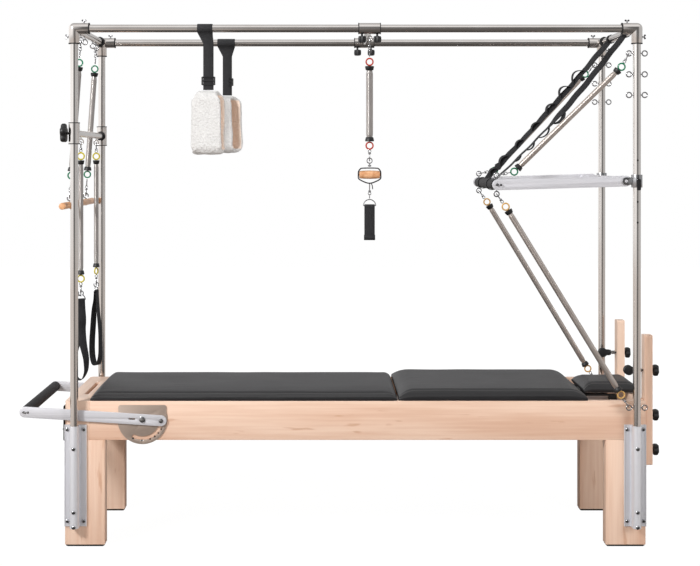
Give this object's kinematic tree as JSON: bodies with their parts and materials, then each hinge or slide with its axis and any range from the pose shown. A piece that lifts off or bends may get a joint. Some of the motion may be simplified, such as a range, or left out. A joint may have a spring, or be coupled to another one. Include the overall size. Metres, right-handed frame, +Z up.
{
  "type": "pilates trapeze table",
  "caption": "Trapeze table with a reformer bed: maple frame, steel canopy, sprung push bar, roll-down bar, foot bar, loops, fleece straps, handle and charcoal mats.",
  "frame": {"origin": "Bottom centre of the bounding box, on the floor", "axes": "+X runs from the foot bar end to the head end, +Y from the near side to the far side, +Z up"},
  "size_m": [2.624, 0.8324, 2.1525],
  "materials": {
    "maple": "clear lacquered maple",
    "rubber": "matt moulded rubber",
    "aluminium": "satin anodised extrusion and flat bar",
    "steel_tube": "polished stainless tube",
    "bright_steel": "bright plated fittings",
    "grey_steel": "grey powder coat",
    "webbing": "black woven polyester webbing",
    "black_plastic": "moulded black plastic",
    "foam_grip": "dark grey foam grip",
    "vinyl": "charcoal upholstery vinyl",
    "spring_steel": "close wound spring steel",
    "turned_wood": "turned and oiled hardwood",
    "fleece": "off-white fleece",
    "sheave": "turned sheave"
  },
  "bodies": {
    "root": {"side_rails": "maple", "end_boards": "maple", "legs": "maple", "feet": "rubber", "slats": "maple", "track_rails": "aluminium", "post_sockets": "aluminium", "screws": "bright_steel", "posts": "steel_tube", "top_tubes": "steel_tube", "corner_fittings": "steel_tube", "eyebolts": "bright_steel", "notch_plates": "grey_steel", "foot_strap": "webbing", "risers": "maple", "riser_knobs": "black_plastic", "push_brackets": "grey_steel"},
    "foot_bar": {"footbar_arms": "aluminium", "footbar_roller": "foam_grip", "footbar_pins": "bright_steel"},
    "mat": {"left_mat": "vinyl", "left_mat_board": "maple"},
    "carriage": {"carriage_mat": "vinyl", "carriage_board": "maple", "carriage_wheels": "black_plastic"},
    "headrest": {"headrest_pad": "vinyl", "headrest_board": "grey_steel"},
    "push_bar": {"push_arms": "aluminium", "push_roller": "foam_grip", "push_eyes": "bright_steel", "push_rings": "bright_steel", "push_springs": "spring_steel", "push_straps": "webbing"},
    "pin_near": {"pop_pin_near": "black_plastic"},
    "pin_far": {"pop_pin_far": "black_plastic"},
    "roll_down": {"roll_bar": "turned_wood", "roll_springs": "spring_steel", "roll_fittings": "bright_steel"},
    "cross_slider": {"slider": "steel_tube", "slider_knobs": "black_plastic"},
    "handle": {"handle_spring": "spring_steel", "handle_fittings": "bright_steel", "handle_grip": "turned_wood", "handle_strap": "webbing"},
    "fleece_near": {"fleece_web_near": "webbing", "fleece_cuff_near": "fleece"},
    "fleece_far": {"fleece_web_far": "webbing", "fleece_cuff_far": "fleece"},
    "sliding_bar": {"mid_bar": "steel_tube"},
    "bar_knob": {"mid_knob": "black_plastic"},
    "loop_near": {"loop_spring_near": "spring_steel", "loop_fittings_near": "bright_steel", "loop_web_near": "webbing"},
    "loop_far": {"loop_spring_far": "spring_steel", "loop_fittings_far": "bright_steel", "loop_web_far": "webbing"},
    "pulley_near": {"pulley_near": "black_plastic"},
    "sheave_near": {"wheel_near": "sheave"},
    "pulley_far": {"pulley_far": "black_plastic"},
    "sheave_far": {"wheel_far": "sheave"}
  },
  "joints": [
    {"name": "footbar_hinge", "type": "hinge", "parent": "root", "child": "foot_bar", "pos_m": [-0.8114, 0, 0.522], "axis": [0, 1, 0], "range_deg": [0, 37.4]},
    {"name": "mat_lift", "type": "slide", "parent": "root", "child": "mat", "axis": [0, 0, 1], "range_m": [0, 0.15]},
    {"name": "carriage_roll", "type": "slide", "parent": "root", "child": "carriage", "axis": [1, 0, 0], "range_m": [-0.005, 0]},
    {"name": "headrest_hinge", "type": "hinge", "parent": "carriage", "child": "headrest", "pos_m": [1.034, 0, 0.5955], "axis": [0, -1, 0], "range_deg": [0, 25]},
    {"name": "push_bar_hinge", "type": "hinge", "parent": "root", "child": "push_bar", "pos_m": [1.1575, 0, 1.496], "axis": [0, 1, 0], "range_deg": [-30, 40], "stiffness_Nm_per_rad": 120, "springref_deg": 5.73, "deforming": ["push_springs", "push_rings", "push_straps"]},
    {"name": "pin_pull_near", "type": "slide", "parent": "root", "child": "pin_near", "axis": [0, -1, 0], "range_m": [0, 0.012], "stiffness_N_per_m": 600},
    {"name": "pin_pull_far", "type": "slide", "parent": "root", "child": "pin_far", "axis": [0, 1, 0], "range_m": [0, 0.012], "stiffness_N_per_m": 600},
    {"name": "roll_bar_swing", "type": "hinge", "parent": "root", "child": "roll_down", "pos_m": [-1.0845, 0, 2.082], "axis": [0, 1, 0], "range_deg": [0, 60]},
    {"name": "cross_tube_slide", "type": "slide", "parent": "root", "child": "cross_slider", "axis": [1, 0, 0], "range_m": [-0.37, 0.3]},
    {"name": "handle_swing", "type": "hinge", "parent": "cross_slider", "child": "handle", "pos_m": [0.116, -0.35, 2.0755], "axis": [0, 1, 0], "range_deg": [-20, 20]},
    {"name": "fleece_swing_near", "type": "hinge", "parent": "root", "child": "fleece_near", "pos_m": [-0.539, -0.35, 2.116], "axis": [1, 0, 0], "range_deg": [-25, 25]},
    {"name": "fleece_swing_far", "type": "hinge", "parent": "root", "child": "fleece_far", "pos_m": [-0.51, 0.35, 2.116], "axis": [1, 0, 0], "range_deg": [-25, 25]},
    {"name": "sliding_bar_slide", "type": "slide", "parent": "root", "child": "sliding_bar", "axis": [0, 0, 1], "range_m": [-0.055, 0]},
    {"name": "bar_knob_turn", "type": "hinge", "parent": "sliding_bar", "child": "bar_knob", "pos_m": [-1.0845, -0.35, 1.69], "axis": [1, 0, 0], "continuous": true},
    {"name": "loop_swing_near", "type": "hinge", "parent": "sliding_bar", "child": "loop_near", "pos_m": [-1.0845, -0.196, 1.6585], "axis": [0, 1, 0], "range_deg": [-25, 3]},
    {"name": "loop_swing_far", "type": "hinge", "parent": "sliding_bar", "child": "loop_far", "pos_m": [-1.0845, 0.196, 1.6585], "axis": [0, 1, 0], "range_deg": [-25, 3]},
    {"name": "pulley_swivel_near", "type": "hinge", "parent": "root", "child": "pulley_near", "pos_m": [1.2485, -0.26, 0.714], "axis": [1, 0, 0], "range_deg": [-90, 90]},
    {"name": "sheave_turn_near", "type": "hinge", "parent": "pulley_near", "child": "sheave_near", "pos_m": [1.1885, -0.26, 0.714], "axis": [0, 1, 0], "continuous": true},
    {"name": "pulley_swivel_far", "type": "hinge", "parent": "root", "child": "pulley_far", "pos_m": [1.2485, 0.26, 0.714], "axis": [1, 0, 0], "range_deg": [-90, 90]},
    {"name": "sheave_turn_far", "type": "hinge", "parent": "pulley_far", "child": "sheave_far", "pos_m": [1.1885, 0.26, 0.714], "axis": [0, 1, 0], "continuous": true}
  ]
}
